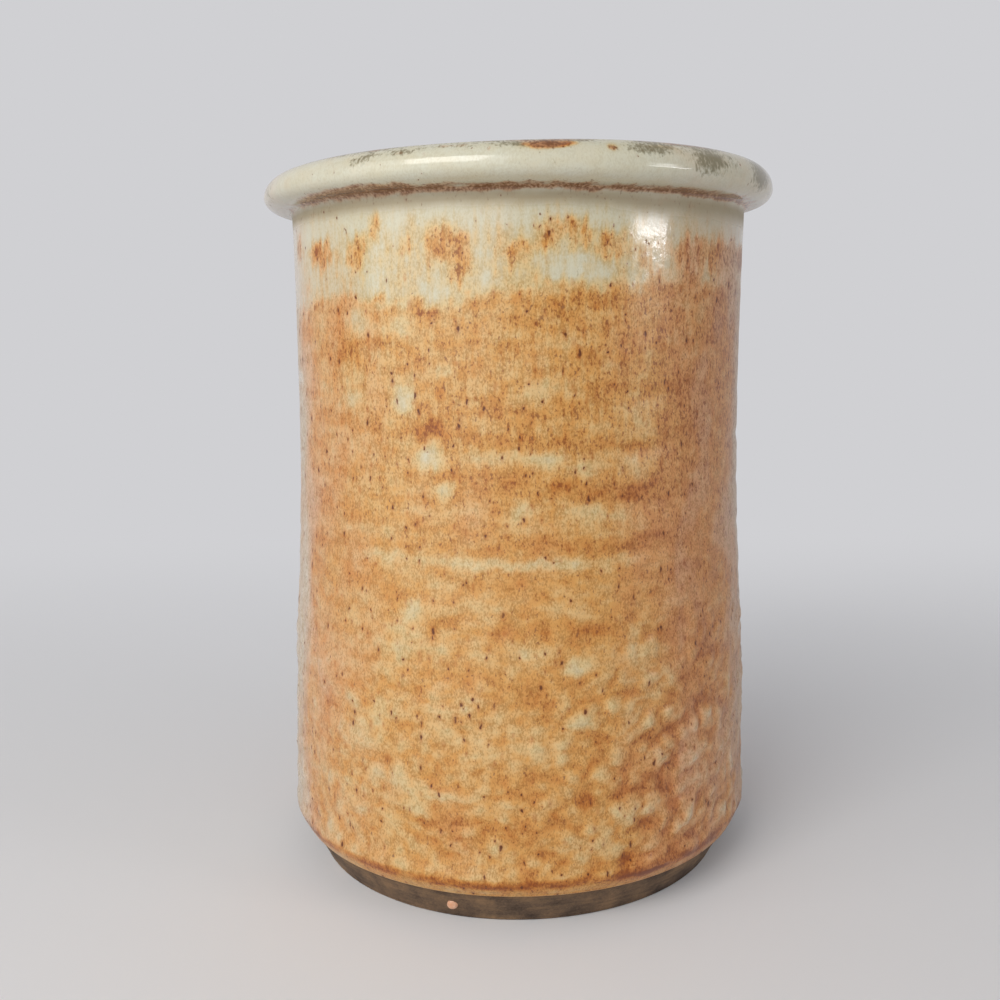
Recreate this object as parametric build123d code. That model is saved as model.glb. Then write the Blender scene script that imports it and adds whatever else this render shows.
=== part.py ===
from build123d import *
import os

# A wheel-thrown stoneware utensil crock: one fired clay pot, bare at its trimmed foot, under fused
# coats of glaze. Millimetres, +Z up, the foot's centre at the origin and the front towards -Y.
# The sizes are those of the finished, glazed pot.

# Overall form: a wall that swells a little at the belly and draws in to its waist below the neck
crock_height = 173.1
waist_radius = 56.5
waist_depth = 51.1
belly_swell = 3.8
belly_height = 17.0
wall_thickness = 6.0

# Rolled rim, an oval band a little fuller above its widest line than below it, and the hollow
# under it where it meets the neck
neck_flare = 0.3
hollow_radius = 1.8
roll_overhang = 6.7
roll_width = 11.0
roll_rise = 4.9
roll_drop = 3.2

# Trimmed foot, bare of glaze
foot_inset = 4.1
foot_round = 0.8
foot_ring_width = 9.0
foot_ring_slope = 2.0
recess_depth = 2.5

# Floor inside
floor_thickness = 7.0
floor_corner_radius = 8.0

# Glaze: a tan coat up to the neck, a liner, and a second, cream dip over the rim that laps both
glaze_thickness = 0.8
glaze_line_height = 8.5
glaze_line_inset = 1.4
bead_radius = 1.0
cream_depth_outside = 30.5
cream_depth_inside = 30.5
lap_height = 8.0
lap_under_share = 0.5

# Drop of glaze that splashed on the foot, left of the front
drop_radius = 1.6
drop_stand = 0.6
drop_height = 4.6
drop_turn = 16.3

# How far the cutting shapes run past what they cut
overrun = 5.0

# Places that follow from the sizes
waist_height = crock_height - waist_depth
belly_radius = waist_radius + belly_swell
neck_radius = waist_radius + neck_flare
rim_radius = neck_radius + roll_overhang
mouth_radius = rim_radius - roll_width
crest_radius = rim_radius - roll_width / 2
roll_bottom_radius = neck_radius + hollow_radius
widest_height = crock_height - roll_rise
roll_bottom_height = widest_height - roll_drop
hollow_height = roll_bottom_height - hollow_radius
floor_height = recess_depth + floor_thickness
heel_height = floor_height + floor_corner_radius
heel_radius = belly_radius - wall_thickness
inner_waist_radius = waist_radius - wall_thickness
glaze_line_radius = belly_radius - glaze_line_inset
foot_top_radius = glaze_line_radius - glaze_thickness
foot_radius = foot_top_radius - foot_inset
cream_edge_outside = crock_height - cream_depth_outside
tan_top_height = cream_edge_outside + lap_height
cream_edge_inside = crock_height - cream_depth_inside
liner_top_height = cream_edge_inside + lap_height
under_depth = glaze_thickness * (1 - lap_under_share)


def swelling_wall(low, high):
    """A smooth S that leaves both ends upright, as two arcs that meet halfway."""
    middle = ((low[0] + high[0]) / 2, (low[1] + high[1]) / 2)
    lower_arc = TangentArc(low, middle, tangent=(0, 1))
    upper_arc = TangentArc(high, middle, tangent=(0, -1))
    return [lower_arc, upper_arc]


def roll_quarter(middle_radius, edge_radius, height, start):
    """A quarter of the roll's oval, from this angle on, between a level tangent and an upright one."""
    middle = (middle_radius, widest_height)
    width = abs(edge_radius - middle_radius)
    return EllipticalCenterArc(middle, width, height, start_angle=start, arc_size=90)


def pot_section(depth):
    """Half section of the pot as if solid, its outside this deep under the finished glaze."""
    foot_inner = (foot_radius - foot_ring_width, 0)
    recess_edge = (foot_radius - foot_ring_width - foot_ring_slope, recess_depth)
    sole_edge = (foot_radius - foot_round, 0)
    foot_side = (foot_radius, foot_round)
    glaze_line = (glaze_line_radius - depth, glaze_line_height)
    belly = (belly_radius - depth, belly_height)
    waist = (waist_radius - depth, waist_height)
    neck = (neck_radius - depth, hollow_height)
    roll_bottom = (roll_bottom_radius, roll_bottom_height + depth)
    crest = (crest_radius, crock_height - depth)
    outline = [
        Polyline((0, recess_depth), recess_edge, foot_inner, sole_edge),
        TangentArc(sole_edge, foot_side, tangent=(1, 0)),
        Line(foot_side, glaze_line),
        TangentArc(belly, glaze_line, tangent=(0, -1)),
        *swelling_wall(belly, waist),
        TangentArc(waist, neck, tangent=(0, 1)),
        TangentArc(neck, roll_bottom, tangent=(0, 1)),
        roll_quarter(roll_bottom_radius, rim_radius - depth, roll_drop - depth, -90),
        roll_quarter(crest_radius, rim_radius - depth, roll_rise - depth, 0),
        Polyline(crest, (0, crock_height - depth), (0, recess_depth)),
    ]
    return make_face(Curve() + outline)


def hollow_section(depth):
    """Half section of the space inside, its wall this deep behind the finished glaze."""
    floor_middle = (0, floor_height - depth)
    floor_edge = (heel_radius - floor_corner_radius, floor_height - depth)
    heel = (heel_radius + depth, heel_height)
    waist = (inner_waist_radius + depth, waist_height)
    mouth = (mouth_radius + depth, widest_height)
    crest = (crest_radius, crock_height - depth)
    mouth_top = crock_height + overrun
    outline = [
        Line(floor_middle, floor_edge),
        TangentArc(floor_edge, heel, tangent=(1, 0)),
        *swelling_wall(heel, waist),
        TangentArc(waist, mouth, tangent=(0, 1)),
        roll_quarter(crest_radius, mouth_radius + depth, roll_rise - depth, 90),
        Polyline(crest, (crest_radius, mouth_top), (0, mouth_top), floor_middle),
    ]
    return make_face(Curve() + outline)


def height_band(low, high):
    """Half section of everything between two heights."""
    width = rim_radius + overrun
    return Pos(0, low) * Rectangle(width, high - low, align=(Align.MIN, Align.MIN))


def turned(section):
    """The solid that a half section sweeps in one full turn about the pot's axis."""
    return revolve(Plane.XZ * section, axis=Axis.Z)


def outer_glaze(depth):
    """Half section of the glaze outside, from the clay out to this deep under the finished skin."""
    return pot_section(depth) - pot_section(glaze_thickness) - hollow_section(glaze_thickness)


def inner_glaze(depth):
    """Half section of the glaze inside, from the clay in to this deep behind the finished skin."""
    return hollow_section(glaze_thickness) - hollow_section(depth)


def stoneware_body():
    """The thrown clay: floor, wall and rolled rim, on a trimmed foot ring."""
    return turned(pot_section(glaze_thickness) - hollow_section(glaze_thickness))


def tan_glaze_coat():
    """First coat outside, from its rounded edge above the foot to its thin top under the cream."""
    bead_height = glaze_line_height + bead_radius
    bead = Pos(foot_top_radius, bead_height) * Circle(bead_radius) - pot_section(glaze_thickness)
    coat = outer_glaze(0) & height_band(bead_height, cream_edge_outside)
    lapped_top = outer_glaze(under_depth) & height_band(cream_edge_outside, tan_top_height)
    return turned(coat + bead + lapped_top)


def cream_glaze_coat():
    """Second dip, over the neck and rim and down the top of the inside."""
    above = crock_height + overrun
    outer = outer_glaze(0) & height_band(tan_top_height, above)
    outer_lap = outer_glaze(0) - outer_glaze(under_depth)
    outer_lap &= height_band(cream_edge_outside, tan_top_height)
    inner = inner_glaze(0) & height_band(liner_top_height, above)
    inner_lap = inner_glaze(0) - inner_glaze(under_depth)
    inner_lap &= height_band(cream_edge_inside, liner_top_height)
    return turned(outer + outer_lap + inner + inner_lap)


def liner_glaze_coat():
    """Coat on the floor and wall inside, its thin top under the cream."""
    coat = inner_glaze(0) & height_band(0, cream_edge_inside)
    lapped_top = inner_glaze(under_depth) & height_band(cream_edge_inside, liner_top_height)
    return turned(coat + lapped_top)


def foot_glaze_drop(clay):
    """Small round-backed drop of glaze, fused to the sloping side of the foot."""
    foot_rise = glaze_line_height - foot_round
    side_radius = foot_radius + foot_inset * (drop_height - foot_round) / foot_rise
    centre_radius = side_radius + drop_stand - drop_radius
    place = Rot(0, 0, -drop_turn) * Pos(0, -centre_radius, drop_height)
    return place * Sphere(drop_radius) - clay


clay = stoneware_body()
pieces = {
    "stoneware_body": clay,
    "tan_glaze_coat": tan_glaze_coat(),
    "cream_glaze_coat": cream_glaze_coat(),
    "liner_glaze_coat": liner_glaze_coat(),
    "foot_glaze_drop": foot_glaze_drop(clay),
}

os.makedirs("parts", exist_ok=True)
for name, piece in pieces.items():
    export_step(piece, f"parts/{name}.step")
    print(name, len(piece.solids()), "solid", round(piece.volume), "mm3")
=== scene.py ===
import math
import random

import bmesh
import bpy
import numpy as np
from mathutils import Matrix, Vector, noise


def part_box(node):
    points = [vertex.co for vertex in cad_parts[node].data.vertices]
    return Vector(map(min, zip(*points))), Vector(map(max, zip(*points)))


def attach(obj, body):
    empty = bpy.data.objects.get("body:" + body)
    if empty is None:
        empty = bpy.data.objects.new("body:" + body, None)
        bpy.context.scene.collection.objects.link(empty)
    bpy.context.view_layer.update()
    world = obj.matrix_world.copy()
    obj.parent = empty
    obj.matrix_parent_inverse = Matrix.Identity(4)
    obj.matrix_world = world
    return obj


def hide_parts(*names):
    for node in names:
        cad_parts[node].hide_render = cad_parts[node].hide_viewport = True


# A wheel-thrown utensil crock, glazed in tan with a cream dip over its rim. Metres throughout,
# with mm for small sizes. A turn of 0 degrees is the front of the pot, and grows to the right.

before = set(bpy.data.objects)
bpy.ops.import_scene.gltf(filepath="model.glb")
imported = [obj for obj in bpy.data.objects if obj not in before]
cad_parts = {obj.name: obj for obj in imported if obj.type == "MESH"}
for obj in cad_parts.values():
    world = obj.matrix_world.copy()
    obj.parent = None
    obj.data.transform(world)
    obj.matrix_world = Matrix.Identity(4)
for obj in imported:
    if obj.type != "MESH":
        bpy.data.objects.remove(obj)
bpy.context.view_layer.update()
mm = 0.001

# Sizes of the pot, from its parts
clay_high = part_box("stoneware_body")[1]
tan_low, tan_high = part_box("tan_glaze_coat")
cream_low, cream_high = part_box("cream_glaze_coat")
liner_low, liner_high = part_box("liner_glaze_coat")
drop_low, drop_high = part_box("foot_glaze_drop")

crock_height = cream_high.z
rim_radius = cream_high.x
glaze_thickness = rim_radius - clay_high.x
belly_radius = tan_high.x
glaze_line_height = tan_low.z
cream_edge_height = cream_low.z
tan_top_height = tan_high.z
floor_height = liner_low.z + glaze_thickness
liner_top_height = liner_high.z
heel_radius = liner_high.x - glaze_thickness
wall_thickness = belly_radius - heel_radius

# Sizes of the profile that no part's box gives
belly_height = 17.0 * mm
belly_swell = 3.8 * mm
waist_depth = 51.1 * mm
neck_flare = 0.3 * mm
hollow_radius = 1.8 * mm
roll_width = 11.0 * mm
roll_rise = 4.9 * mm
roll_drop = 3.2 * mm
glaze_line_inset = 1.4 * mm
bead_radius = 1.0 * mm
foot_inset = 4.1 * mm
foot_round = 0.8 * mm
foot_ring_width = 9.0 * mm
foot_ring_slope = 2.0 * mm
recess_depth = 2.5 * mm
floor_corner_radius = 8.0 * mm

waist_radius = belly_radius - belly_swell
waist_height = crock_height - waist_depth
neck_radius = waist_radius + neck_flare
mouth_radius = rim_radius - roll_width
crest_radius = rim_radius - roll_width / 2
roll_bottom_radius = neck_radius + hollow_radius
widest_height = crock_height - roll_rise
roll_bottom_height = widest_height - roll_drop
hollow_height = roll_bottom_height - hollow_radius
heel_height = floor_height + floor_corner_radius
inner_waist_radius = waist_radius - wall_thickness
glaze_line_radius = belly_radius - glaze_line_inset
foot_top_radius = glaze_line_radius - glaze_thickness
foot_radius = foot_top_radius - foot_inset

# Camera, as fitted to the photograph's outlines
camera_distance = 281.6 * mm
camera_height = 134.4 * mm
camera_down = 8.89
camera_left = 0.77
camera_tilt = -0.97
image_size = 1000
focal_pixels = 1060
sensor_width = 36


def add_camera():
    """A camera in front of the pot, level with its upper half and looking a little down."""
    camera = bpy.data.objects.new("camera", bpy.data.cameras.new("camera"))
    bpy.context.scene.collection.objects.link(camera)
    camera.data.sensor_width = sensor_width
    camera.data.lens = focal_pixels * sensor_width / image_size
    camera.data.clip_start = 0.01
    down = Matrix.Rotation(math.radians(90 - camera_down), 4, "X")
    aside = Matrix.Rotation(math.radians(camera_left), 4, "Z")
    tilt = Matrix.Rotation(math.radians(camera_tilt), 4, "Z")
    place = Matrix.Translation((0, -camera_distance, camera_height))
    camera.matrix_world = place @ aside @ down @ tilt
    bpy.context.scene.camera = camera


def linear(hex_colour):
    """An sRGB hex colour as linear red, green, blue and alpha."""
    values = [int(hex_colour[at:at + 2], 16) / 255 for at in (1, 3, 5)]
    straight = [v / 12.92 if v <= 0.04045 else ((v + 0.055) / 1.055) ** 2.4 for v in values]
    return (*straight, 1)


# Settings that many nodes share. A colour mix takes its share at input 0 and its two colours at
# inputs 6 and 7, and gives its result at output 2.
sums = "ShaderNodeMath"
mixes = "ShaderNodeMix"
blends = {"data_type": "RGBA"}
multiply_add = {"operation": "MULTIPLY_ADD"}
soft_step = {"interpolation_type": "SMOOTHSTEP"}


def add_node(tree, kind, settings=None, inputs=None, stops=None):
    """One node with its settings. An input is a value, or the output of a node to link from."""
    new = tree.nodes.new(kind)
    for name, value in (settings or {}).items():
        setattr(new, name, value)
    for name, value in (inputs or {}).items():
        if isinstance(value, bpy.types.NodeSocket):
            tree.links.new(value, new.inputs[name])
        else:
            new.inputs[name].default_value = value
    if stops:
        ramp = new.color_ramp
        while len(ramp.elements) < len(stops):
            ramp.elements.new(1)
        for element, (place, colour) in zip(ramp.elements, stops):
            element.position = place
            element.color = linear(colour)
    return new


def grain(points, size, seed, octaves=1):
    """Smooth random values, about -1 to 1, at an array of points, in lumps of this size."""
    scaled = points / np.array(size) + np.array((3.7, 5.3, 1.9)) * seed
    return np.array([noise.fractal(place, 1, 2, octaves) for place in scaled.tolist()])


def smooth_step(values, low, high):
    """0 below low and 1 above high, with a smooth rise between them."""
    share = np.clip((values - low) / (high - low), 0, 1)
    return share * share * (3 - 2 * share)


def bump_at(values, middle, half_width):
    """A smooth hump of height 1 round a middle value."""
    return np.exp(-((values - middle) / half_width) ** 2)


# Half sections of the pot, as points of radius and height

row_spacing = 1.0 * mm
hidden_spacing = 4.0 * mm
merge_distance = 0.001 * mm
sharp_angle = 38


def oval(centre, width, rise, start, end, spacing):
    """Points along an arc of an oval, its angles in degrees from straight out, positive upwards."""
    length = max(width, rise) * math.radians(abs(end - start))
    angles = np.radians(np.linspace(start, end, max(3, round(length / spacing) + 1)))
    return [(centre[0] + width * math.cos(a), centre[1] + rise * math.sin(a)) for a in angles]


def arc(centre, radius, start, end, spacing):
    """Points along an arc of a circle."""
    return oval(centre, radius, radius, start, end, spacing)


def wall(low, high, curve, spacing):
    """Points up a wall, its radius going from the low end to the high one by a curve of 0 to 1."""
    count = max(2, round((high[1] - low[1]) / spacing))
    shares = [step / count for step in range(count + 1)]
    width, rise = high[0] - low[0], high[1] - low[1]
    return [(low[0] + width * curve(share), low[1] + rise * share) for share in shares]


def swelling(share):
    """A smooth S, upright at both ends."""
    return 2 * share ** 2 if share < 0.5 else 1 - 2 * (1 - share) ** 2


def flaring(share):
    """Upright at its low end, leaning out more and more."""
    return share ** 2


def closing(share):
    """Leaning out at its low end, upright at its high one."""
    return 1 - (1 - share) ** 2


def between(points, low, high):
    """The part of a section between two heights, cut level at both."""
    heights = [height for radius, height in points]
    radii = [radius for radius, height in points]
    inner = [point for point in points if low < point[1] < high]
    ends = [(float(np.interp(at, heights, radii)), at) for at in (low, high)]
    return [ends[0], *inner, ends[1]]


def outside_wall(depth, spacing):
    """From the glaze line up to the hollow under the rim, this deep under the finished skin."""
    glaze_line = (glaze_line_radius - depth, glaze_line_height)
    belly = (belly_radius - depth, belly_height)
    waist = (waist_radius - depth, waist_height)
    neck = (neck_radius - depth, hollow_height)
    foot_curve = wall(glaze_line, belly, closing, spacing)
    swell = wall(belly, waist, swelling, spacing)
    return foot_curve + swell[1:] + wall(waist, neck, flaring, spacing)[1:]


def rim_roll(depth, spacing):
    """From the hollow round the roll to its mouth side, without its first point."""
    hollow = arc((roll_bottom_radius, hollow_height), hollow_radius + depth, 180, 90, spacing)
    lower_width = rim_radius - roll_bottom_radius - depth
    lower = oval((roll_bottom_radius, widest_height), lower_width, roll_drop - depth, -90, 0, spacing)
    upper_width = roll_width / 2 - depth
    upper = oval((crest_radius, widest_height), upper_width, roll_rise - depth, 0, 180, spacing)
    return hollow[1:] + lower[1:] + upper[1:]


def inside_wall(depth, spacing):
    """From the heel inside up to the mouth, this deep behind the finished skin."""
    heel = (heel_radius + depth, heel_height)
    waist = (inner_waist_radius + depth, waist_height)
    mouth = (mouth_radius + depth, widest_height)
    swell = wall(heel, waist, swelling, spacing)
    return swell + wall(waist, mouth, flaring, spacing)[1:]


def inside_floor(depth, spacing):
    """From the middle of the floor inside to the heel, without the heel's last point."""
    corner = (heel_radius - floor_corner_radius, heel_height)
    round_corner = arc(corner, floor_corner_radius + depth, -90, 0, spacing)
    middle = (0, floor_height - depth)
    flat = [(share * corner[0], middle[1]) for share in np.linspace(0, 1, 30)]
    return flat[:-1] + round_corner[:-1]


def foot_section():
    """From the middle of the recess underneath, over the foot ring and up to the glaze line."""
    ring_inside = foot_radius - foot_ring_width
    recess_edge = ring_inside - foot_ring_slope
    recess = [(share * recess_edge, recess_depth) for share in np.linspace(0, 1, 28)]
    slope = [(recess_edge + 0.5 * foot_ring_slope, 0.5 * recess_depth)]
    ring = [(radius, 0) for radius in np.linspace(ring_inside, foot_radius - foot_round, 8)]
    edge = arc((foot_radius - foot_round, foot_round), foot_round, -90, 0, 0.3 * mm)
    side_low = (foot_radius, foot_round)
    side = wall(side_low, (foot_top_radius, glaze_line_height), lambda share: share, 0.5 * mm)
    return recess + slope + ring + edge[1:] + side[1:]


def stoneware_section():
    """The whole clay pot, one closed line from its underside round to its floor inside."""
    depth = glaze_thickness
    outside = foot_section() + outside_wall(depth, 2 * mm)[1:] + rim_roll(depth, 1 * mm)
    inside = inside_floor(depth, 1.5 * mm) + inside_wall(depth, 2.5 * mm)
    return outside + inside[-2::-1]


def tan_section():
    """The tan coat: its skin, its thin lapped top, and back down along the clay."""
    edge = arc((foot_top_radius, glaze_line_height + bead_radius), bead_radius, -90, 0, 0.25 * mm)
    skin = between(outside_wall(0, row_spacing), edge[-1][1] + 0.2 * mm, cream_edge_height)
    half = glaze_thickness / 2
    lap = between(outside_wall(half, hidden_spacing), cream_edge_height, tan_top_height)
    back_foot = glaze_line_height + 0.5 * mm
    back = between(outside_wall(glaze_thickness, hidden_spacing), back_foot, tan_top_height)
    return edge + skin + lap + back[::-1]


def cream_section():
    """The cream dip: its skin outside and inside, and back along the clay and under its laps."""
    half = glaze_thickness / 2
    skin = between(outside_wall(0, row_spacing), cream_edge_height, hollow_height)
    skin += rim_roll(0, 0.55 * mm)
    skin += between(inside_wall(0, 2 * mm), cream_edge_height, widest_height)[-2::-1]
    back = between(inside_wall(half, hidden_spacing), cream_edge_height, liner_top_height)
    back += between(inside_wall(glaze_thickness, hidden_spacing), liner_top_height, widest_height)
    back += rim_roll(glaze_thickness, 1.5 * mm)[-2::-1]
    neck = between(outside_wall(glaze_thickness, hidden_spacing), tan_top_height, hollow_height)
    lap = between(outside_wall(half, hidden_spacing), cream_edge_height, tan_top_height)
    return skin + back + neck[::-1] + lap[::-1]


def liner_section():
    """The liner: floor and wall inside, its thin lapped top, and back down behind them."""
    half = glaze_thickness / 2
    skin = inside_floor(0, 1.2 * mm)
    skin += between(inside_wall(0, 1.5 * mm), heel_height, cream_edge_height)
    lap = between(inside_wall(half, hidden_spacing), cream_edge_height, liner_top_height)
    back = inside_floor(glaze_thickness, 3 * mm)
    back += between(inside_wall(glaze_thickness, hidden_spacing), heel_height, liner_top_height)
    return skin + lap + back[::-1]


# Shape that the potter's hands gave the pot, added to the even sections

lean = 0.0115
rim_wave = 0.25 * mm
rim_rise = 0.4 * mm
roll_sag = 0.7 * mm

# Throwing rings pressed into the wall: height and depth in mm
wall_rings = ((108.7, 0.22), (97.0, 0.18), (86.0, 0.2), (74.0, 0.1), (62.5, 0.1), (120.0, 0.08))

# A shallow dent low on the right: turn in degrees, then height and depth in mm
dent_turn = 96
dent_height = 33
dent_depth = 1.1

# The thick edge of the glaze above the foot: height and how far it stands out, in mm
edge_swell_height = 12.8
edge_swell = 0.95


def turn_of(points):
    """Degrees round the pot from its front, to the right."""
    return np.degrees(np.arctan2(points[:, 0], -points[:, 1]))


def beside(turns, middle):
    """Degrees from a middle turn, the short way round."""
    return (turns - middle + 180) % 360 - 180


def outside_shift(points, lumpy):
    """How far out each point of the outside moves: waves, throwing rings, lumps and dents."""
    turns = turn_of(points)
    heights = points[:, 2] / mm
    wave = 0.25 * np.cos(np.radians(2 * (turns - 90))) * smooth_step(heights, 30, 90)
    wave += 0.2 * grain(points, (0.05, 0.05, 0.035), 1)
    wander = 0.9 * grain(points, (0.03, 0.03, 0.2), 2)
    for height, depth in wall_rings:
        uneven = 1 + 0.8 * np.cos(np.radians(turns + 2.3 * height))
        wave -= depth * uneven * bump_at(heights + wander, height, 1.5)
    wave += lumpy
    aside = beside(turns, dent_turn)
    reach = np.hypot(aside / 15, (heights - dent_height) / 19)
    wave -= dent_depth * (1 - smooth_step(reach, 0.55, 1.15))
    wave += 0.45 * bump_at(aside, 0, 14) * bump_at(heights, 12.5, 4)
    edge = glaze_edge_swell(points)
    return (wave * smooth_step(heights, 0, 9) + edge) * mm


def lumps(points):
    """Millimetres of lumpiness: slight higher up, strong near the foot, with hand marks there."""
    turns = turn_of(points)
    heights = points[:, 2] / mm
    lower = 1 - smooth_step(heights, 50, 95)
    body = smooth_step(heights, 9, 15) * (1 - smooth_step(heights, 138, 155))
    lumpy = (0.25 + 0.75 * lower) * 0.3 * grain(points, (0.009, 0.009, 0.007), 3, 2)
    aside = beside(turns, 40)
    crawled = bump_at(aside, 0, 26) * (1 - smooth_step(heights, 45, 80))
    netted = 3 * np.abs(grain(points, (0.0052, 0.0052, 0.0042), 4, 2)) - 0.6
    lumpy += (0.04 + 0.16 * lower + 0.16 * crawled) * netted
    drawn = heights - 0.45 * aside + 4 * grain(points, (0.014, 0.014, 0.014), 5)
    lumpy += 0.16 * np.sin(drawn / 8 * 2 * np.pi) * bump_at(aside, 0, 15) * bump_at(heights, 36, 26)
    return lumpy * body + laid(hand_marks, turns, heights)


def glaze_edge_swell(points):
    """Millimetres that the glaze and clay stand out where the wall turns in above the foot."""
    heights = points[:, 2] / mm
    uneven = 1 + 0.5 * grain(points, (0.02, 0.02, 0.2), 6) + 0.3 * grain(points, (0.006, 0.006, 0.2), 7)
    return edge_swell * uneven * bump_at(heights, edge_swell_height, 2.8)


def inside_shift(points):
    """How far out each point of the inside moves: a shallow throwing spiral and slow waves."""
    turns = turn_of(points)
    heights = points[:, 2] / mm
    spiral = np.sin(2 * np.pi * (heights / 9 + turns / 360))
    wave = 0.22 * spiral * smooth_step(heights, 14, 28) * (1 - smooth_step(heights, 135, 155))
    wave += 0.3 * grain(points, (0.05, 0.05, 0.035), 1)
    return wave * smooth_step(heights, 18, 30) * mm


def middle_radius(heights):
    """Radius halfway through the wall, which tells the outside from the inside."""
    outer = np.array(outside_wall(0, 5 * mm) + [(crest_radius + 0.5 * mm, widest_height)])
    return np.interp(heights, outer[:, 1], outer[:, 0] - wall_thickness / 2)


def thrown(points, lumpy):
    """Points of an even section after the potter's hands: moved out or in, and leaning a little."""
    radii = np.hypot(points[:, 0], points[:, 1])
    outside = radii > middle_radius(points[:, 2])
    ends = (points[:, 2] > hollow_height) | (points[:, 2] < glaze_line_height)
    shift = np.where(outside | ends, outside_shift(points, lumpy), inside_shift(points))
    shift *= smooth_step(radii, 0.6 * foot_radius, 0.9 * foot_radius)
    moved = points.copy()
    moved[:, :2] *= (1 + shift / np.maximum(radii, 1 * mm))[:, None]
    rise = smooth_step(points[:, 2], widest_height, crock_height)
    moved[:, 2] += rim_wave * rise * grain(points, (0.045, 0.045, 0.3), 8)
    turns = turn_of(points)
    moved[:, 2] += rim_rise * rise * bump_at(beside(turns, 45), 0, 60)
    sag = smooth_step(points[:, 2], hollow_height - 2 * mm, roll_bottom_height)
    sag *= 1 - smooth_step(points[:, 2], roll_bottom_height, widest_height + 0.5 * roll_rise)
    moved[:, 2] -= roll_sag * sag * bump_at(beside(turns, 42), 0, 50) * outside
    moved[:, 0] += lean * points[:, 2]
    return moved


# Lumps and hollows left by the hand: turn in degrees, then height, half width, half height and
# how far out, in mm
hand_marks = [
    (34, 30.5, 3.2, 2.2, -0.5), (28.5, 24.5, 2.4, 3.4, -0.45), (23.5, 15.5, 1.6, 2.2, -0.4),
    (31, 27.5, 2.5, 3.2, 0.45), (24, 28, 2.6, 4, 0.35), (18, 31, 2.0, 3.0, 0.25), (14, 31.5, 2.6, 2.6, -0.3),
    (39, 22, 3, 3, 0.35), (30, 14, 2.6, 1.8, 0.3), (44, 34, 3, 6, 0.3), (10, 22, 4, 2.5, 0.25),
]

# Heights in mm where the outer glaze changes: the line above the foot, the cream dip's edge,
# the shade in the hollow, the foot and full width of the roll, and the brown line under it
edge_line_height = 12.2
dip_edge_height = 142.4
shade_height = 162.6
roll_starts, roll_full = 161.5, 164.5
iron_line_height = 164.6

# Marks in the glaze: turn in degrees, height, half width and half height in mm, and strength.
# Above 0 the glaze breaks towards rust, below 0 it pools towards cream.

neck_patches = [
    (-53, 153.2, 5, 2.8, 1.1), (-39, 152.9, 2.8, 3.8, 1.0), (-33, 157.5, 1.8, 3.4, 0.9),
    (-24, 156, 1.5, 3.2, 0.5), (-27, 151, 4, 5, 0.22), (-16.5, 153.8, 4.6, 3.2, 1.1),
    (-12.5, 148.5, 2.6, 4, 0.7), (-0.5, 151.3, 3.2, 3, 0.85), (1.5, 147.3, 4, 2, 0.3),
    (6, 154.2, 2, 2.6, 0.75), (9.5, 157.2, 3.2, 1.7, 0.85), (12, 155, 1.4, 2.6, 0.7),
    (14.5, 155.8, 0.9, 3.4, 1.2), (21, 152.8, 4.4, 3, 1.2), (28, 149.5, 2.4, 2.6, 0.6),
    (12.5, 147, 5.2, 2.2, -0.35), (12, 150.5, 3.6, 2.4, -0.4), (42, 151, 5, 4.5, 1.0),
    (53, 151, 6, 4.5, 1.1), (64, 150, 6, 5, 0.9), (-33.5, 141.8, 1.8, 1.2, 0.6),
]
pale_patches = [
    (-43, 119.7, 7, 1.5, -0.4), (-26, 120.5, 2.8, 4, -0.8), (4, 121.4, 3, 2, -0.3),
    (-39.5, 137.8, 4, 3, -0.6), (-27, 137, 2.6, 3, -0.4), (-20, 108.1, 3.2, 3, -0.85),
    (-4.5, 108.4, 6, 1.4, -0.35), (5.5, 107.4, 4.5, 1.8, -0.5), (15.5, 106.2, 4, 1.6, -0.4),
    (25, 105.6, 4, 2, -0.35), (-17, 101, 2.4, 2, -0.65), (-11, 97, 3.5, 1.6, -0.3),
    (0.5, 96.5, 4, 1.8, -0.55), (15.5, 95.6, 6.5, 2.2, -0.45), (22.5, 95, 3, 2, -0.35),
    (-33, 85.7, 6, 1.2, -0.35), (-16, 85.6, 12, 1.3, -0.35), (-2.5, 84.7, 9, 1.3, -0.45),
    (9, 84.8, 9, 1.2, -0.45), (22.5, 85.3, 6, 1.1, -0.25), (-24, 74, 2.2, 2.2, -0.5),
    (-27.5, 65.8, 5, 2, -0.3), (-17.5, 65.7, 4, 2.2, -0.35), (-8.5, 64.9, 4, 2, -0.2),
    (1, 65.5, 3, 1.8, -0.3), (12, 61.5, 2.4, 2, -0.6), (26, 66, 1.6, 2.8, -0.4),
    (30.5, 53.3, 3, 2.6, -0.4), (-32.5, 46.7, 1.6, 1.4, -0.4), (-13, 46.7, 8, 1.4, -0.25),
    (0, 48, 8, 1.3, -0.25), (14, 48.8, 5, 1.5, -0.25),
]
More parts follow.
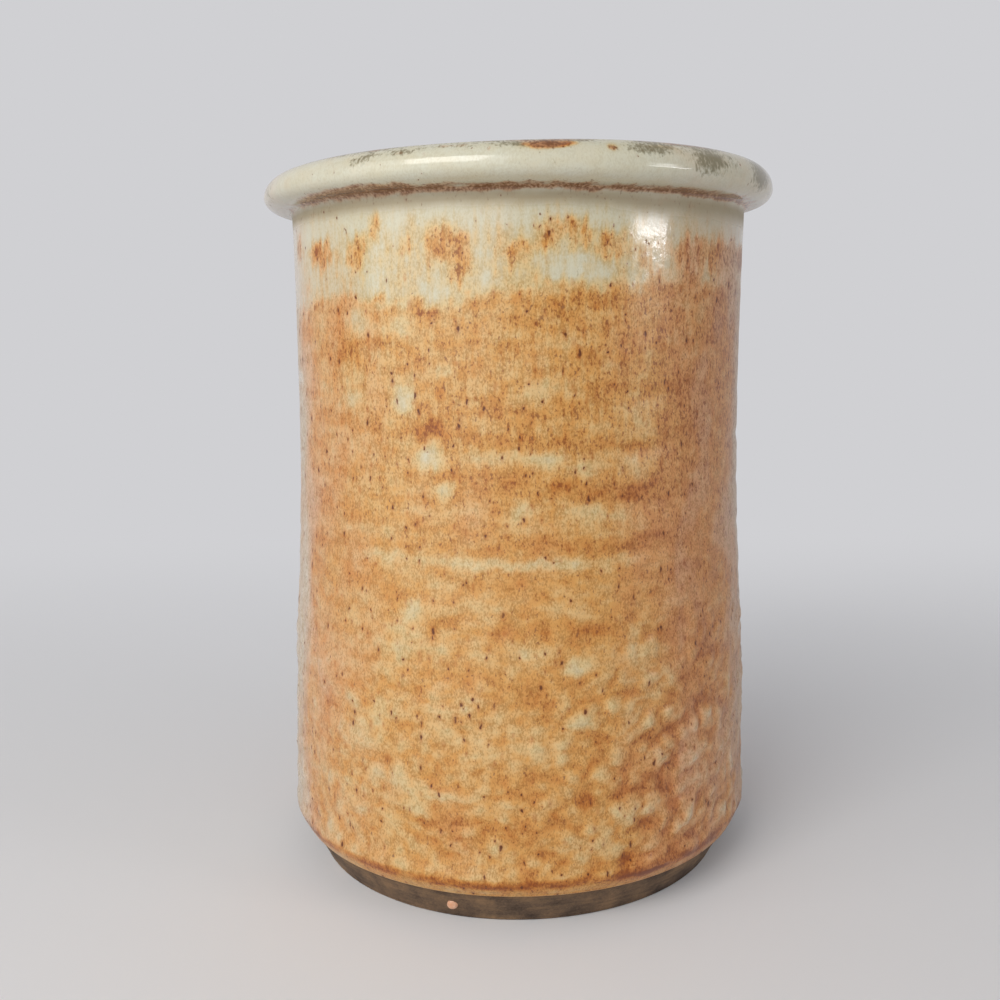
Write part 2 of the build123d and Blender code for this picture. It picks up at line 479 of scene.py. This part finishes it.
rust_patches = [
    (-19, 114.3, 5.4, 2.3, 0.6), (-11, 112.4, 6, 1.1, 0.16), (0, 111.8, 7, 1.3, 0.2),
    (8.5, 111.6, 6, 1.3, 0.22), (20, 110.6, 7, 1.3, 0.2), (27.5, 108.8, 4, 1.4, 0.2),
    (-46.5, 115.6, 8, 1.5, 0.2), (-15.5, 104.2, 5, 1.4, 0.22), (-4.5, 102.8, 7, 1.8, 0.18),
    (8.5, 101.9, 6, 1.8, 0.25), (17.5, 101.2, 4, 1.6, 0.2), (26, 99.2, 3.2, 1.7, 0.35),
    (31, 101, 3, 1.6, 0.25), (-50, 87, 10, 1.6, 0.12), (-27.5, 88.6, 10, 1.4, 0.14),
    (8.5, 89.6, 10, 1.8, 0.14), (28, 88.4, 8, 1.8, 0.18), (-30, 77.5, 10, 4, 0.12),
    (-17.5, 71.4, 4.5, 1.2, 0.3), (15, 69.7, 4, 1.4, 0.25), (-20, 25.5, 7, 1.3, 0.2),
    (0, 25.9, 9, 1.4, 0.22), (-19.5, 139.3, 2.6, 1.4, 0.5), (0, 128, 16, 9, -0.1),
    (-44, 130, 5, 8, 0.2), (38, 118, 6, 9, 0.2), (12, 133, 9, 4, 0.05), (0, 36, 14, 6, 0.1),
    (20, 33, 8, 4, 0.15), (40, 25, 6, 3, 0.3), (30, 14, 6, 2.5, 0.35), (47, 60, 5, 12, 0.15),
]

# More of the same round the hidden side
hidden_side = (72, 300)
chance = random.Random(11)


def scattered(count, heights, widths, tallness, strengths):
    """Marks of the same kinds strewn over the hidden side."""
    marks = []
    for _ in range(count):
        place = (chance.uniform(*hidden_side), chance.uniform(*heights))
        size = (chance.uniform(*widths), chance.uniform(*tallness))
        marks.append((*place, *size, chance.uniform(*strengths)))
    return marks


neck_patches += scattered(17, (149, 158), (1.2, 5), (2.5, 4), (0.7, 1.6))
pale_patches += scattered(44, (25, 138), (2, 9), (1.2, 2.6), (-0.6, -0.25))
rust_patches += scattered(40, (20, 138), (3, 10), (1.1, 3), (0.12, 0.4))

# Round the rim: turn, angle round the roll in degrees, half width in mm, half angle, strength
rim_iron = [
    (-32, 27, 2.6, 14, 0.5), (-22, 40, 3.4, 9, 0.5), (-13, 48, 5, 9, 0.65), (-5.5, 32, 1, 12, 0.8),
    (5.8, 44, 4.9, 18, 1.0), (15.5, 45, 1, 8, 0.6), (18, 36, 1, 12, 0.9), (26, 38, 5, 14, 0.5),
]
# The ash mark at turn -68 greys the rim's left end: painted shade there rather than ash
rim_ash = [
    (-32, 27, 3, 15, 0.9), (-29, 42, 2.6, 9, 0.7), (-22, 40, 4, 10, 0.8), (-13, 48, 5, 9, 0.5),
    (-2, 48, 3, 10, 0.8), (1, 43, 1.4, 10, 0.7), (26, 38, 5.8, 20, 1.1), (40, 24, 5, 40, 1.15),
    (47, 30, 5, 22, 0.6), (61, 14, 5.5, 50, 1.35), (-68, -5, 4, 50, 0.55), (72, 30, 7, 30, 0.7),
    (-85, 20, 9, 40, 0.6), (-76, 60, 5, 25, 0.5),
]
rim_rust = [(4.5, 44, 3.4, 12, 2.4), (7.8, 46, 2.8, 10, 2.4), (18, 40, 1, 12, 1.2), (29, 44, 3, 8, 0.8)]
rim_iron += scattered(16, (55, 100), (2, 8), (6, 20), (0.4, 1.0))
rim_ash += scattered(14, (20, 100), (4, 12), (12, 35), (0.4, 1.0))


def laid(marks, turns, heights, radius=58):
    """The marks added up over places given by turn and height."""
    total = np.zeros(len(turns))
    for turn, height, half_width, half_height, strength in marks:
        across = np.radians(beside(turns, turn)) * radius / half_width
        up = (heights - height) / half_height
        total += strength * np.exp(-(across ** 2 + up ** 2) ** 1.3)
    return total


def around_roll(points):
    """Degrees round the rim's roll, from its widest line up and over to its mouth side."""
    radii = np.hypot(points[:, 0], points[:, 1])
    above = points[:, 2] > widest_height
    up = (points[:, 2] - widest_height) / np.where(above, roll_rise, roll_drop)
    middle = np.where(above, crest_radius, roll_bottom_radius)
    return np.degrees(np.arctan2(up, (radii - middle) / (rim_radius - middle)))


def glaze_marks(points, lumpy):
    """Tone, blush and painted sheen, runniness, iron, ash and shade of the outer glaze at an array of
    points.
    """
    turns = turn_of(points)
    heights = points[:, 2] / mm
    outside = np.hypot(points[:, 0], points[:, 1]) > neck_radius - wall_thickness / 2
    stray = grain(points, (0.003, 0.003, 0.003), 21, 2)
    run = grain(points, (0.0016, 0.0016, 0.009), 22, 2)
    drift = grain(points, (0.011, 0.011, 0.02), 23, 2)
    ragged_turns = turns + 1.1 * stray
    ragged_heights = heights + 1.1 * run + 0.7 * stray

    # Tone of the wall: tan, in soft bands, paler at the left and where the glaze lies thick
    lower = 1 - smooth_step(heights, 35, 85)
    left = smooth_step(-beside(turns, 12), 0, 60) * (1 - smooth_step(-beside(turns, 12), 120, 180))
    bands = grain(points, (0.035, 0.035, 0.0035), 24, 2) * (1 - 0.6 * lower)
    body = 0.2 + 0.05 * drift + 0.16 * bands - (0.16 + 0.05 * lower) * left
    body += 0.06 * smooth_step(beside(turns, 0), 15, 45)
    # Painted shade: the wall is browner in the hollows of its lumps and paler on their ridges
    body -= (0.5 + 0.5 * lower) * lumpy
    body += laid(pale_patches + rust_patches, ragged_turns, ragged_heights)

    # Tone of the neck, where the second dip is cream and breaks to rust in patches
    patched = laid(neck_patches, ragged_turns, ragged_heights + 1.8 * run)
    neck = -0.66 - 0.32 * smooth_step(heights, 152.5, 159) + 0.2 * drift + 1.15 * patched
    neck = np.minimum(neck, 0.05 + 0.3 * neck)
    edge = dip_edge_height + 2.6 * drift + 3.4 * smooth_step(beside(turns, 50), -60, -45)
    dipped = smooth_step(heights + 1.2 * run + 1.6 * stray, edge - 2.6, edge + 2.6)
    on_roll = smooth_step(heights, roll_starts, roll_full)
    tone = body * (1 - dipped) + (neck * (1 - on_roll) - 1.3 * on_roll) * dipped

    # A thin rusty line along the thick edge above the foot
    uneven = heights + 0.7 * drift + 0.4 * stray
    edge_line = bump_at(uneven, edge_line_height, 0.9) * (0.8 + 0.8 * drift)
    tone += 0.95 * edge_line

    # Blush towards pink at both sides, partly a real pink tint and partly a painted sheen, and past 1
    # towards grey near the outline as a painted reflection
    blush_and_sheen = smooth_step(beside(turns, 0), 12, 50) + 0.45 * smooth_step(-beside(turns, 0), 16, 50)
    blush_and_sheen += 0.4 * smooth_step(-beside(turns, 0), 52, 72)
    blush_and_sheen = np.clip(blush_and_sheen + 0.5 * drift - 0.1, 0, 1)
    blush_and_sheen += bump_at(beside(turns, -79), 0, 20) + 0.6 * bump_at(beside(turns, 82), 0, 17)
    runny = (0.6 * smooth_step(heights, 60, 125) + 0.45 * dipped) * (1 - 0.85 * on_roll)

    # The brown broken line under the roll, and the hollow's painted shade below it, partly pooled olive
    # glaze
    front_left = bump_at(beside(turns, -38), 0, 19)
    far_right = bump_at(beside(turns, 52), 0, 20)
    strength = 0.98 + 0.12 * front_left + 0.1 * far_right + 0.3 * drift
    strength -= 0.75 * bump_at(beside(turns, -85), 0, 22)
    middle = iron_line_height + 0.5 * front_left + 0.15 * drift + 0.35 * stray
    line = strength * bump_at(heights, middle, 0.7 + 0.4 * front_left) * outside
    # Painted shadow of the roll: the shade reaches lower and wider on the right
    to_right = smooth_step(beside(turns, 0), 12, 32)
    middle = shade_height - 0.9 * to_right
    shaded = bump_at(heights + 0.4 * stray, middle, 1.8 + 0.9 * to_right) * outside

    # Iron and ash on the roll, in marks and along its crest
    around = around_roll(points)
    crest = bump_at(around + 4 * stray, 66, 14) * (1 + drift)
    ragged_around = around + 5 * stray
    iron = on_roll * (0.45 * crest + laid(rim_iron, ragged_turns, ragged_around)) + line
    iron += 0.3 * edge_line
    iron += 0.4 * shaded
    ash = on_roll * (0.75 * crest + laid(rim_ash, ragged_turns, ragged_around))
    tone += on_roll * laid(rim_rust, ragged_turns, ragged_around)
    return {
        "tone": tone, "blush_and_sheen": blush_and_sheen, "runny": runny, "iron": iron, "ash": ash, "shaded": shaded,
    }


def made_piece(name, section, steps, material, node, marks=None):
    """A piece spun from its section, thrown by hand, marked, finished and put in its node's place."""
    form = bmesh.new()
    corners = [form.verts.new((radius, 0, height)) for radius, height in section]
    edges = [form.edges.new(pair) for pair in zip(corners, corners[1:])]
    if section[0][0] > 0 or section[-1][0] > 0:
        edges.append(form.edges.new((corners[-1], corners[0])))
    bmesh.ops.spin(
        form, geom=corners + edges, cent=(0, 0, 0), axis=(0, 0, 1), angle=2 * math.pi,
        steps=steps, use_merge=True,
    )
    bmesh.ops.remove_doubles(form, verts=form.verts, dist=merge_distance)
    bmesh.ops.recalc_face_normals(form, faces=form.faces)
    mesh = bpy.data.meshes.new(name)
    form.to_mesh(mesh)
    form.free()
    flat = np.empty(len(mesh.vertices) * 3)
    mesh.vertices.foreach_get("co", flat)
    points = flat.reshape(-1, 3)
    lumpy = lumps(points)
    for label, values in (marks(points, lumpy) if marks else {}).items():
        layer = mesh.attributes.new(label, "FLOAT", "POINT")
        layer.data.foreach_set("value", values.astype(np.float32))
    mesh.vertices.foreach_set("co", thrown(points, lumpy).ravel())
    mesh.shade_smooth()
    mesh.set_sharp_from_angle(angle=math.radians(sharp_angle))
    placed(name, mesh, material, node)


def placed(name, mesh, material, node):
    """Put a mesh in the scene as the piece that stands for this CAD node."""
    piece = bpy.data.objects.new(name, mesh)
    bpy.context.scene.collection.objects.link(piece)
    mesh.materials.append(material)
    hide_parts(node)
    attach(piece, "root")


def new_material(name):
    """An empty material and its node tree."""
    material = bpy.data.materials.new(name)
    material.use_nodes = True
    material.node_tree.nodes.clear()
    return material, material.node_tree


def per(size):
    """Noise scale that gives lumps of this size in metres."""
    return 1 / size


def glaze_colours(tree, spread, blush_and_sheen):
    """The glaze's colour: cream, tan and rust, golden or blushed pink, and past the blush a painted grey
    sheen.
    """
    golden = add_node(
        tree, "ShaderNodeValToRGB", None, {"Fac": spread},
        (
            (0.0, "#CCCBBA"), (0.2, "#C9C2A8"), (0.31, "#CAB994"), (0.4, "#D0B787"),
            (0.48, "#D3AD75"), (0.57, "#CD9853"), (0.68, "#BD7A32"), (0.83, "#A05810"),
            (1.0, "#7A3E12"),
        ),
    ).outputs["Color"]
    pinkish = add_node(
        tree, "ShaderNodeValToRGB", None, {"Fac": spread},
        (
            (0.0, "#CAC8B8"), (0.3, "#CAB698"), (0.45, "#D3A77D"), (0.57, "#CB905C"),
            (0.7, "#B47140"), (1.0, "#783F1A"),
        ),
    ).outputs["Color"]
    colour = add_node(tree, mixes, blends, {0: blush_and_sheen, 6: golden, 7: pinkish}).outputs[2]
    # Painted sheen: past the blush the colour greys towards #CBC0B1, a painted reflection of the pale
    # surroundings near the outline
    painted_sheen = add_node(
        tree, "ShaderNodeMapRange", None,
        {"Value": blush_and_sheen, "From Min": 0.9, "From Max": 1.6, "To Max": 0.9},
    ).outputs["Result"]
    return add_node(tree, mixes, blends, {0: painted_sheen, 6: colour, 7: linear("#CBC0B1")}).outputs[2]


def burned_pits(tree, place, cloud, thin):
    """Pits where iron burned through, and the faint rusty stain round each, as shares of 0 to 1.

    Three sizes of Voronoi cells, some with a pit, more where the glaze is thin, their outlines
    pulled about.
    """
    crooked = add_node(
        tree, "ShaderNodeTexNoise", None, {"Vector": place, "Scale": per(1.2 * mm), "Detail": 1}
    ).outputs["Color"]
    pulled = add_node(
        tree, "ShaderNodeVectorMath", multiply_add,
        {0: crooked, 1: (0.8 * mm, 0.8 * mm, 1.4 * mm), 2: place},
    ).outputs[0]
    pits = stains = 0.0
    for stretch, cell, reach in ((0.5, 3.0 * mm, 0.14), (0.35, 2.6 * mm, 0.12), (0.6, 1.8 * mm, 0.16)):
        drawn = add_node(
            tree, "ShaderNodeMapping", None, {"Vector": pulled, "Scale": (1, 1, stretch)}
        ).outputs[0]
        cells = add_node(tree, "ShaderNodeTexVoronoi", None, {"Vector": drawn, "Scale": per(cell)})
        likely = add_node(
            tree, sums, multiply_add, {0: cloud, 1: 0.7, 2: cells.outputs["Color"]}
        ).outputs[0]
        likely = add_node(tree, sums, multiply_add, {0: thin, 1: 0.32, 2: likely}).outputs[0]
        size = add_node(
            tree, "ShaderNodeMapRange", None,
            {"Value": likely, "From Min": 0.95, "From Max": 1.35, "To Max": reach},
        ).outputs["Result"]
        inside = add_node(
            tree, sums, {"operation": "SUBTRACT"}, {0: size, 1: cells.outputs["Distance"]}
        ).outputs[0]
        near = add_node(tree, sums, multiply_add, {0: size, 1: 1.3, 2: inside}).outputs[0]
        pit, stain = [
            add_node(
                tree, sums, {"operation": "MULTIPLY", "use_clamp": True}, {0: depth, 1: steepness}
            ).outputs[0]
            for depth, steepness in ((inside, 15.0), (near, 5.0))
        ]
        pits = add_node(tree, sums, {"operation": "MAXIMUM"}, {0: pits, 1: pit}).outputs[0]
        stains = add_node(tree, sums, {"operation": "MAXIMUM"}, {0: stains, 1: stain}).outputs[0]
    for share in (thin, 0.45):
        stains = add_node(tree, sums, {"operation": "MULTIPLY"}, {0: stains, 1: share}).outputs[0]
    return pits, stains


def outer_glaze():
    """Runny ash glaze, fired over speckled clay: cream where thick, tan, and rust where thin.

    Glossy where thick and satin where thin, and a little orange-peeled. Iron from the clay burns
    through it as brown pits and specks.
    """
    material, tree = new_material("runny_ash_glaze")
    place = add_node(tree, "ShaderNodeTexCoord").outputs["Object"]
    flatter, taller, tallest = [
        add_node(tree, "ShaderNodeMapping", None, {"Vector": place, "Scale": (1, 1, share)}).outputs[0]
        for share in (1.6, 0.6, 0.2)
    ]
    tone, blush_and_sheen, runny, iron, ash, shaded = [
        add_node(tree, "ShaderNodeAttribute", {"attribute_name": label}).outputs["Fac"]
        for label in ("tone", "blush_and_sheen", "runny", "iron", "ash", "shaded")
    ]
    cloud, mottle, fleck, streak, dot, dust, peel = [
        add_node(
            tree, "ShaderNodeTexNoise", None,
            {"Vector": vector, "Scale": per(size), "Detail": detail, "Roughness": 0.55},
        ).outputs["Fac"]
        for vector, size, detail in (
            (place, 14 * mm, 2), (flatter, 5 * mm, 2), (taller, 1.3 * mm, 2), (tallest, 1.3 * mm, 2),
            (taller, 0.62 * mm, 2), (taller, 0.36 * mm, 1), (place, 2.2 * mm, 1),
        )
    ]

    # Tone: a share of each noise, less its middle, moves the painted tone towards cream or rust
    cloud_share, mottle_share, fleck_share, streak_share = 0.1, 0.95, 0.4, 1.2
    tone_reach = 1.6
    streak = add_node(tree, sums, {"operation": "SUBTRACT"}, {0: streak, 1: 0.5}).outputs[0]
    streak = add_node(tree, sums, {"operation": "MULTIPLY"}, {0: streak, 1: runny}).outputs[0]
    for value, share in (
        (cloud, cloud_share), (mottle, mottle_share), (fleck, fleck_share), (streak, streak_share),
    ):
        tone = add_node(tree, sums, multiply_add, {0: value, 1: share, 2: tone}).outputs[0]
    noise_middle = 0.5 * (cloud_share + mottle_share + fleck_share)
    low, high = noise_middle - tone_reach, noise_middle + tone_reach
    spread = add_node(
        tree, "ShaderNodeMapRange", None, {"Value": tone, "From Min": low, "From Max": high}
    ).outputs["Result"]
    colour = glaze_colours(tree, spread, blush_and_sheen)

    # Fine grain: light and dark only, as the glaze thins over each grain of the clay. It hardly
    # shows where the glaze lies thick and cream.
    thin = add_node(
        tree, "ShaderNodeMapRange", soft_step,
        {"Value": spread, "From Min": 0.15, "From Max": 0.55, "To Min": 0.25, "To Max": 1.0},
    ).outputs["Result"]
    both = add_node(tree, sums, multiply_add, {0: fleck, 1: 0.8, 2: dust}).outputs[0]
    grained = add_node(
        tree, "ShaderNodeValToRGB", None, {"Fac": both}, ((0.68, "#D6C6A6"), (1.0, "#FFFFFF"))
    ).outputs["Color"]
    colour = add_node(
        tree, mixes, {"data_type": "RGBA", "blend_type": "MULTIPLY"},
        {0: thin, 6: colour, 7: grained},
    ).outputs[2]

    # Small iron specks, thick where the glaze is rusty and hardly any where it is pale
    rusty = add_node(tree, sums, multiply_add, {0: spread, 1: 0.9, 2: dot}).outputs[0]
    rusty = add_node(tree, sums, multiply_add, {0: runny, 1: 0.1, 2: rusty}).outputs[0]
    speck = add_node(
        tree, "ShaderNodeMapRange", soft_step,
        {"Value": rusty, "From Min": 1.11, "From Max": 1.27, "To Max": 0.7},
    ).outputs["Result"]
    colour = add_node(tree, mixes, blends, {0: speck, 6: colour, 7: linear("#783400")}).outputs[2]

    # Olive-grey ash in mottles on the rim, and painted shade in the hollow under it, partly pooled olive
    # glaze
    for value, share in ((fleck, 1.0), (dot, 2.2)):
        ash = add_node(tree, sums, multiply_add, {0: value, 1: share, 2: ash}).outputs[0]
    ash = add_node(
        tree, "ShaderNodeMapRange", soft_step,
        {"Value": ash, "From Min": 1.9, "From Max": 2.8, "To Max": 0.85},
    ).outputs["Result"]
    for share, hex_colour in ((ash, "#786F54"), (shaded, "#A3967A")):
        colour = add_node(tree, mixes, blends, {0: share, 6: colour, 7: linear(hex_colour)}).outputs[2]

    # Iron breaking through in lines and patches: a pinkish halo, full of fine brown specks
    halo = add_node(tree, sums, multiply_add, {0: mottle, 1: 1.0, 2: iron}).outputs[0]
    brown = add_node(tree, sums, multiply_add, {0: dot, 1: 2.1, 2: halo}).outputs[0]
    for value, low, high, most, hex_colour in (
        (halo, 0.95, 1.5, 0.75, "#B98860"), (brown, 2.1, 2.9, 0.82, "#643610"),
    ):
        share = add_node(
            tree, "ShaderNodeMapRange", soft_step,
            {"Value": value, "From Min": low, "From Max": high, "To Max": most},
        ).outputs["Result"]
        colour = add_node(tree, mixes, blends, {0: share, 6: colour, 7: linear(hex_colour)}).outputs[2]

    # Pits burned by iron, each in a rusty stain
    pits, stains = burned_pits(tree, place, cloud, thin)
    for share, hex_colour in ((stains, "#A25814"), (pits, "#602C04")):
        colour = add_node(tree, mixes, blends, {0: share, 6: colour, 7: linear(hex_colour)}).outputs[2]

    # Relief: an orange-peel skin with fine grain, and the pits sunk in it
    height = add_node(tree, sums, multiply_add, {0: pits, 1: -0.6, 2: peel}).outputs[0]
    height = add_node(tree, sums, multiply_add, {0: dust, 1: 0.25, 2: height}).outputs[0]
    bump = add_node(
        tree, "ShaderNodeBump", None, {"Height": height, "Strength": 0.3, "Distance": 0.12 * mm}
    ).outputs["Normal"]

    # Gloss: cream is glossy, tan and rust satin, and the shaded hollow dry
    dryness = add_node(
        tree, "ShaderNodeMapRange", soft_step,
        {"Value": spread, "From Min": 0.3, "From Max": 0.52, "To Min": 0.13, "To Max": 0.38},
    ).outputs["Result"]
    dryness = add_node(tree, sums, multiply_add, {0: shaded, 1: 0.4, 2: dryness}).outputs[0]
    shader = add_node(
        tree, "ShaderNodeBsdfPrincipled", None,
        {"Base Color": colour, "Roughness": dryness, "IOR": 1.52, "Normal": bump},
    ).outputs[0]
    add_node(tree, "ShaderNodeOutputMaterial", None, {"Surface": shader})
    return material


def liner_glaze():
    """The same ash glaze, thinner, on the inside: an even yellowish tan with a satin gloss."""
    material, tree = new_material("tan_liner_glaze")
    place = add_node(tree, "ShaderNodeTexCoord").outputs["Object"]
    mottle = add_node(
        tree, "ShaderNodeTexNoise", None,
        {"Vector": place, "Scale": per(5 * mm), "Detail": 5, "Roughness": 0.6},
    ).outputs["Fac"]
    colour = add_node(
        tree, "ShaderNodeValToRGB", None, {"Fac": mottle},
        ((0.3, "#D8C397"), (0.45, "#CFAA72"), (0.6, "#BE8C53"), (0.75, "#9A653A")),
    ).outputs["Color"]
    bump = add_node(
        tree, "ShaderNodeBump", None, {"Height": mottle, "Strength": 0.3, "Distance": 0.1 * mm}
    ).outputs["Normal"]
    shader = add_node(
        tree, "ShaderNodeBsdfPrincipled", None,
        {"Base Color": colour, "Roughness": 0.25, "IOR": 1.52, "Normal": bump},
    ).outputs[0]
    add_node(tree, "ShaderNodeOutputMaterial", None, {"Surface": shader})
    return material


def bare_clay():
    """Stoneware trimmed at the wheel and left bare: matt, grey-brown, lined and a little gritty."""
    material, tree = new_material("trimmed_stoneware")
    place = add_node(tree, "ShaderNodeTexCoord").outputs["Object"]
    level = add_node(
        tree, "ShaderNodeMapping", None, {"Vector": place, "Scale": (0.06, 0.06, 1)}
    ).outputs["Vector"]
    lines, cloud, grit = [
        add_node(
            tree, "ShaderNodeTexNoise", None,
            {"Vector": vector, "Scale": per(size), "Detail": detail, "Roughness": 0.6},
        ).outputs["Fac"]
        for vector, size, detail in ((level, 0.7 * mm, 3), (place, 9 * mm, 4), (place, 0.5 * mm, 2))
    ]
    mixed = cloud
    for value in (lines, grit):
        mixed = add_node(tree, sums, multiply_add, {0: value, 1: 0.3, 2: mixed}).outputs[0]
    colour = add_node(
        tree, "ShaderNodeValToRGB", None, {"Fac": mixed},
        ((0.6, "#3A2A1E"), (0.78, "#5F4B39"), (1.0, "#86694B")),
    ).outputs["Color"]
    bump = add_node(
        tree, "ShaderNodeBump", None, {"Height": mixed, "Strength": 0.6, "Distance": 0.15 * mm}
    ).outputs["Normal"]
    shader = add_node(
        tree, "ShaderNodeBsdfPrincipled", None,
        {"Base Color": colour, "Roughness": 0.85, "IOR": 1.5, "Normal": bump},
    ).outputs[0]
    add_node(tree, "ShaderNodeOutputMaterial", None, {"Surface": shader})
    return material


def splashed_drop():
    """A splash of the tan glaze, melted to a pinkish orange bead on the bare clay."""
    material, tree = new_material("splashed_glaze")
    place = add_node(tree, "ShaderNodeTexCoord").outputs["Object"]
    mottle = add_node(
        tree, "ShaderNodeTexNoise", None,
        {"Vector": place, "Scale": per(1 * mm), "Detail": 3, "Roughness": 0.6},
    ).outputs["Fac"]
    colour = add_node(
        tree, "ShaderNodeValToRGB", None, {"Fac": mottle}, ((0.3, "#C98C66"), (0.7, "#DDB294"))
    ).outputs["Color"]
    shader = add_node(
        tree, "ShaderNodeBsdfPrincipled", None, {"Base Color": colour, "Roughness": 0.3, "IOR": 1.52}
    ).outputs[0]
    add_node(tree, "ShaderNodeOutputMaterial", None, {"Surface": shader})
    return material


def glaze_drop(material):
    """The drop on the foot, from its CAD box: a low dome whose back sinks into the clay."""
    form = bmesh.new()
    bmesh.ops.create_icosphere(form, subdivisions=4, radius=1)
    half = (drop_high - drop_low) / 2
    middle = (drop_high + drop_low) / 2
    bmesh.ops.scale(form, vec=half, verts=form.verts)
    bmesh.ops.translate(form, vec=middle + Vector((lean * middle.z, 0, 0)), verts=form.verts)
    mesh = bpy.data.meshes.new("glaze_drop")
    form.to_mesh(mesh)
    form.free()
    mesh.shade_smooth()
    placed("glaze_drop", mesh, material, "foot_glaze_drop")


# Paper sweep of the studio, in metres, and the level at which the camera sees it
paper_front = -3.0
paper_bend = 0.8
paper_bend_radius = 0.7
paper_top = 3.0
paper_width = 6.0
paper_seen = "#D0D0D3"


def add_paper_sweep():
    """The studio's floor and backdrop, one pale sheet of paper in a wide curve.

    The camera and gloss see it at a plain pale level; it takes the pot's shadow.
    """
    form = bmesh.new()
    bend = arc((paper_bend, paper_bend_radius), paper_bend_radius, -90, 0, 0.05)
    back = paper_bend + paper_bend_radius
    section = [(paper_front, 0), (paper_bend, 0), *bend, (back, paper_top)]
    edge = [form.verts.new((-paper_width / 2, y, z)) for y, z in section]
    lines = [form.edges.new(pair) for pair in zip(edge, edge[1:])]
    pulled = bmesh.ops.extrude_edge_only(form, edges=lines)["geom"]
    moved = [part for part in pulled if isinstance(part, bmesh.types.BMVert)]
    bmesh.ops.translate(form, vec=(paper_width, 0, 0), verts=moved)
    bmesh.ops.remove_doubles(form, verts=form.verts, dist=merge_distance)
    mesh = bpy.data.meshes.new("paper_sweep")
    form.to_mesh(mesh)
    form.free()
    mesh.shade_smooth()
    material, tree = new_material("pale_paper")
    matt = add_node(tree, "ShaderNodeBsdfDiffuse", None, {"Color": linear("#E6E6E8")}).outputs[0]
    shine = add_node(
        tree, "ShaderNodeEmission", None, {"Color": linear(paper_seen), "Strength": 1.0}
    ).outputs[0]
    rays = add_node(tree, "ShaderNodeLightPath").outputs
    seen = rays["Is Camera Ray"]
    for kind in ("Is Glossy Ray", "Is Transmission Ray"):
        seen = add_node(tree, sums, {"operation": "MAXIMUM"}, {0: seen, 1: rays[kind]}).outputs[0]
    place = add_node(tree, "ShaderNodeTexCoord").outputs["Object"]
    depth = add_node(tree, "ShaderNodeSeparateXYZ", None, {"Vector": place}).outputs["Y"]
    behind = add_node(
        tree, "ShaderNodeMapRange", soft_step, {"Value": depth, "From Min": -0.1, "From Max": 0.42}
    ).outputs["Result"]
    share = add_node(tree, sums, {"operation": "MULTIPLY"}, {0: seen, 1: behind}).outputs[0]
    surface = add_node(tree, "ShaderNodeMixShader", None, {0: share, 1: matt, 2: shine}).outputs[0]
    add_node(tree, "ShaderNodeOutputMaterial", None, {"Surface": surface})
    mesh.materials.append(material)
    sheet = bpy.data.objects.new("paper_sweep", mesh)
    bpy.context.scene.collection.objects.link(sheet)


# Lamps: turn and elevation in degrees, distance, width, height, brightness, colour and the height
# that the lamp faces. The lengths are in metres.
lamps = {
    "high_left_lamp": (-32, 33, 1.0, 0.56, 0.4, 5.5, "#FFFDF8", 0.12),
    "left_screen": (-40, 20, 1.3, 1.8, 1.2, 1.37, "#FFFFFF", 0.12),
    "low_right_lamp": (64.5, 3.6, 0.9, 0.29, 0.022, 33, "#FBFCFF", 0.158),
    "right_lamp": (63, 10.5, 0.9, 0.17, 0.14, 4.4, "#FBFCFF", 0.168),
}


def add_lamp(name, turn, elevation, distance, width, height, brightness, colour, aim):
    """A soft rectangular lamp that faces the pot. Brightness is its own, beside a white of 1."""
    data = bpy.data.lights.new(name, "AREA")
    data.shape = "RECTANGLE"
    data.size, data.size_y = width, height
    data.color = linear(colour)[:3]
    data.energy = brightness * math.pi * width * height
    lamp = bpy.data.objects.new(name, data)
    bpy.context.scene.collection.objects.link(lamp)
    around, up = math.radians(turn), math.radians(elevation)
    way = Vector((math.sin(around) * math.cos(up), -math.cos(around) * math.cos(up), math.sin(up)))
    lamp.matrix_world = Matrix.Translation(Vector((0, 0, aim)) + way * distance) @ (
        way.to_track_quat("Z", "Y").to_matrix().to_4x4()
    )
    lamp.visible_camera = False


def add_studio():
    """Soft light all round, more of it from the left, and lamps whose gleams lie in the glaze."""
    world = bpy.data.worlds.new("studio")
    bpy.context.scene.world = world
    world.use_nodes = True
    tree = world.node_tree
    tree.nodes.clear()
    dim = add_node(
        tree, "ShaderNodeBackground", None, {"Color": linear("#F2F2F4"), "Strength": 0.37}
    ).outputs[0]
    pale = add_node(
        tree, "ShaderNodeBackground", None, {"Color": linear(paper_seen), "Strength": 1.0}
    ).outputs[0]
    camera_ray = add_node(tree, "ShaderNodeLightPath").outputs["Is Camera Ray"]
    sky = add_node(tree, "ShaderNodeMixShader", None, {0: camera_ray, 1: dim, 2: pale}).outputs[0]
    add_node(tree, "ShaderNodeOutputWorld", None, {"Surface": sky})
    for name, placing in lamps.items():
        add_lamp(name, *placing)
    add_paper_sweep()


bpy.context.scene.view_settings.view_transform = "Standard"
outer_finish = outer_glaze()
made_piece("clay_pot", stoneware_section(), 240, bare_clay(), "stoneware_body")
made_piece("tan_coat", tan_section(), 440, outer_finish, "tan_glaze_coat", glaze_marks)
made_piece(
    "cream_coat", cream_section(), 400, outer_finish, "cream_glaze_coat", glaze_marks
)
made_piece("liner_coat", liner_section(), 200, liner_glaze(), "liner_glaze_coat")
glaze_drop(splashed_drop())
add_camera()
add_studio()
